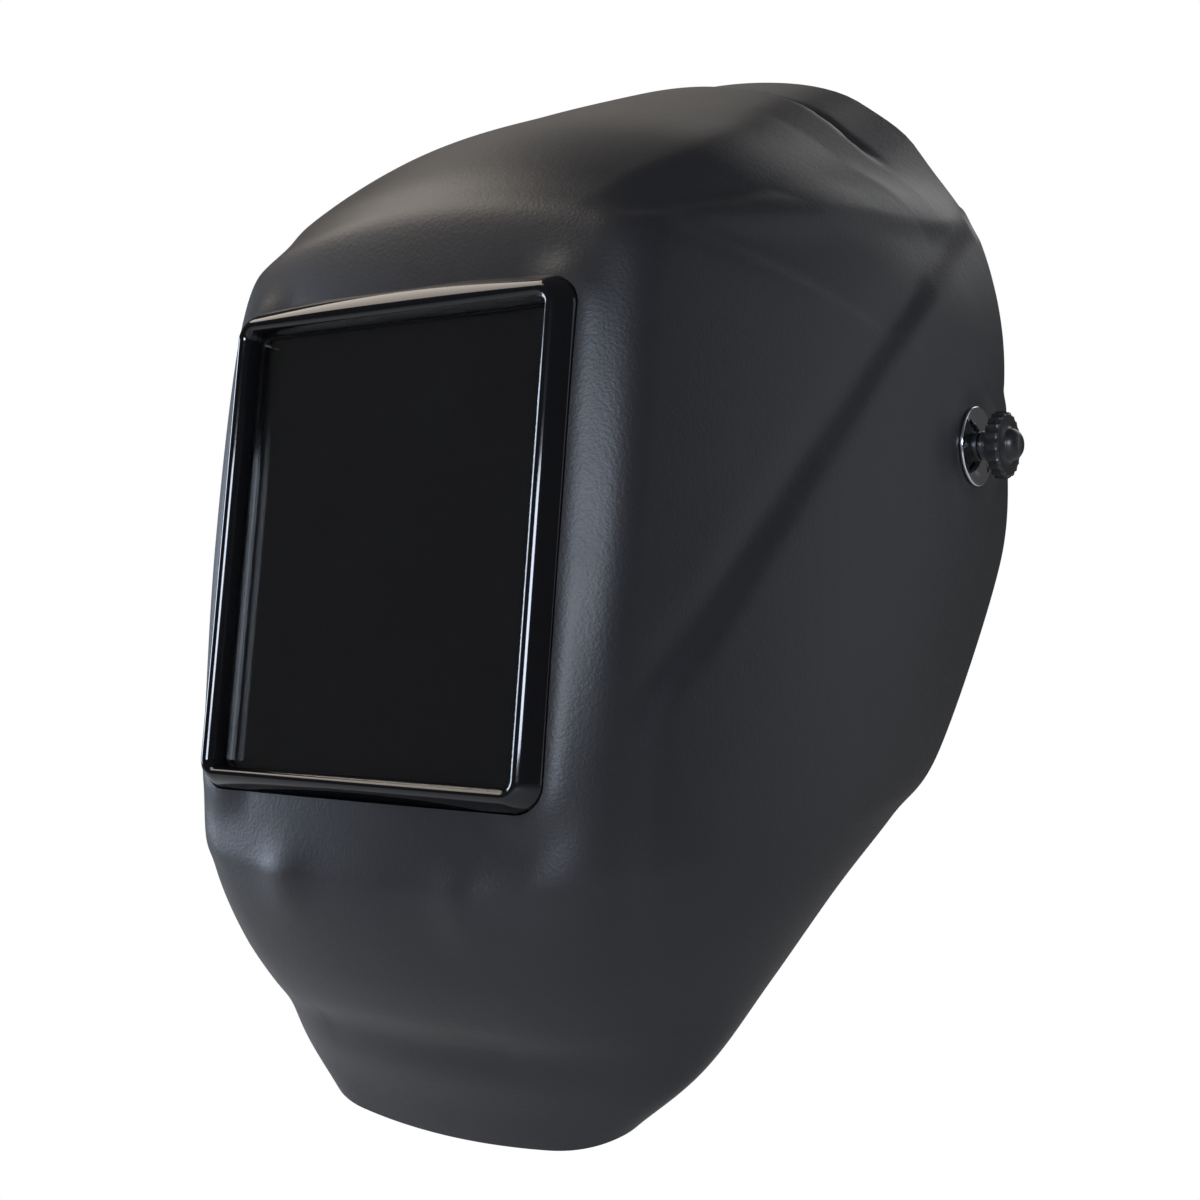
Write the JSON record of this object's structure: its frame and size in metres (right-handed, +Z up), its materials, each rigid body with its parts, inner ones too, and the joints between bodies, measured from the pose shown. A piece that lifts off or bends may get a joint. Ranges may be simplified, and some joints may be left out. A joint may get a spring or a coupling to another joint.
{
  "type": "welding helmet",
  "caption": "Black passive welding helmet: moulded shell with a framed rectangular filter window, tipping up on friction pivots over a ratchet headgear.",
  "frame": {"origin": "middle of the pivot axis between the side arms, where the headgear sits on the head", "axes": "+Z up as worn, -Y forwards, +X to the wearer's left along the pivot axis"},
  "size_m": [0.2548, 0.2808, 0.332],
  "materials": {
    "shell_plastic": "matte black moulded shell with a fine texture",
    "gloss_frame": "polished black window frame",
    "filter_glass": "near-black shade filter",
    "clear_plate": "clear polycarbonate plate",
    "gasket_rubber": "black rubber",
    "washer_chrome": "bright plated steel",
    "knob_plastic": "black moulded plastic",
    "plain_steel": "zinc plated steel",
    "nylon": "natural nylon",
    "pad_cloth": "dark grey cloth over foam",
    "band_plastic": "satin black flexible plastic"
  },
  "bodies": {
    "headband": {"brow_band": "band_plastic", "sweatband": "pad_cloth", "side_arm_left": "band_plastic", "side_arm_right": "band_plastic", "pivot_bolt_left": "plain_steel", "pivot_bolt_right": "plain_steel", "stop_plate_left": "band_plastic", "stop_plate_right": "band_plastic", "strap_rivet_left": "plain_steel", "strap_rivet_right": "plain_steel", "arm_rivet_left_front": "plain_steel", "arm_rivet_left_rear": "plain_steel", "arm_rivet_right_front": "plain_steel", "arm_rivet_right_rear": "plain_steel"},
    "helmet": {"shell": "shell_plastic", "window_frame": "gloss_frame", "cover_plate": "clear_plate", "lens_gasket": "gasket_rubber", "filter_plate": "filter_glass", "inner_cover_plate": "clear_plate", "lens_retainer": "knob_plastic", "latch_screw_top_left": "plain_steel", "latch_screw_top_right": "plain_steel", "latch_screw_bottom_left": "plain_steel", "latch_screw_bottom_right": "plain_steel", "friction_washer_left": "nylon", "friction_washer_right": "nylon", "slotted_washer_left": "washer_chrome", "slotted_washer_right": "washer_chrome", "spacer_bush_left": "nylon", "spacer_bush_right": "nylon"},
    "crown_strap": {"crown_strap_left": "band_plastic", "crown_strap_right": "band_plastic", "crown_peg": "knob_plastic"},
    "knob_left": {"tension_knob_left": "knob_plastic"},
    "knob_right": {"tension_knob_right": "knob_plastic"},
    "ratchet": {"ratchet_housing": "band_plastic", "ratchet_cover": "band_plastic", "nape_pad": "pad_cloth", "detent_spring": "plain_steel"},
    "rack_left": {"rack_left": "band_plastic"},
    "rack_right": {"rack_right": "band_plastic"},
    "ratchet_knob": {"ratchet_knob": "knob_plastic", "pinion": "nylon", "knob_screw": "plain_steel"},
    "latch_top_left": {"latch_top_left": "plain_steel"},
    "latch_top_right": {"latch_top_right": "plain_steel"},
    "latch_bottom_left": {"latch_bottom_left": "plain_steel"},
    "latch_bottom_right": {"latch_bottom_right": "plain_steel"}
  },
  "joints": [
    {"name": "helmet_tilt", "type": "hinge", "parent": "headband", "child": "helmet", "pos_m": [0, 0, 0], "axis": [-1, 0, 0], "range_deg": [0, 80]},
    {"name": "crown_strap_swing", "type": "hinge", "parent": "headband", "child": "crown_strap", "pos_m": [0, 0.01261, 0.00922], "axis": [1, 0, 0], "range_deg": [-12, 10]},
    {"name": "tension_knob_left_turn", "type": "hinge", "parent": "headband", "child": "knob_left", "pos_m": [0.12, 0, 0], "axis": [1, 0, 0], "continuous": true},
    {"name": "tension_knob_right_turn", "type": "hinge", "parent": "headband", "child": "knob_right", "pos_m": [-0.12, 0, 0], "axis": [-1, 0, 0], "continuous": true},
    {"name": "band_size", "type": "slide", "parent": "headband", "child": "ratchet", "axis": [0, 0.9703, -0.2419], "range_m": [-0.01, 0.01]},
    {"name": "rack_left_run", "type": "hinge", "parent": "ratchet", "child": "rack_left", "pos_m": [0, 0.02717, -0.00677], "axis": [0, 0.2419, 0.9703], "range_deg": [-8, 8]},
    {"name": "rack_right_run", "type": "hinge", "parent": "ratchet", "child": "rack_right", "pos_m": [0, 0.02717, -0.00677], "axis": [0, 0.2419, 0.9703], "range_deg": [-8, 8]},
    {"name": "ratchet_knob_turn", "type": "hinge", "parent": "ratchet", "child": "ratchet_knob", "pos_m": [0, 0.11643, -0.02903], "axis": [0, 0.9703, -0.2419], "range_deg": [-145, 145]},
    {"name": "latch_top_left_turn", "type": "hinge", "parent": "helmet", "child": "latch_top_left", "pos_m": [0.06255, -0.12261, 0.00496], "axis": [0, -0.993, 0.1184], "range_deg": [0, 90]},
    {"name": "latch_top_right_turn", "type": "hinge", "parent": "helmet", "child": "latch_top_right", "pos_m": [-0.06255, -0.12261, 0.00496], "axis": [0, 0.993, -0.1184], "range_deg": [0, 90]},
    {"name": "latch_bottom_left_turn", "type": "hinge", "parent": "helmet", "child": "latch_bottom_left", "pos_m": [0.06255, -0.1316, -0.07051], "axis": [0, 0.993, -0.1184], "range_deg": [0, 90]},
    {"name": "latch_bottom_right_turn", "type": "hinge", "parent": "helmet", "child": "latch_bottom_right", "pos_m": [-0.06255, -0.1316, -0.07051], "axis": [0, -0.993, 0.1184], "range_deg": [0, 90]}
  ],
  "couplings": [
    {"joint": "rack_left_run", "follows": "band_size", "rad_per_m": -12.547},
    {"joint": "rack_right_run", "follows": "band_size", "rad_per_m": 12.547},
    {"joint": "ratchet_knob_turn", "follows": "band_size", "rad_per_m": 250}
  ]
}
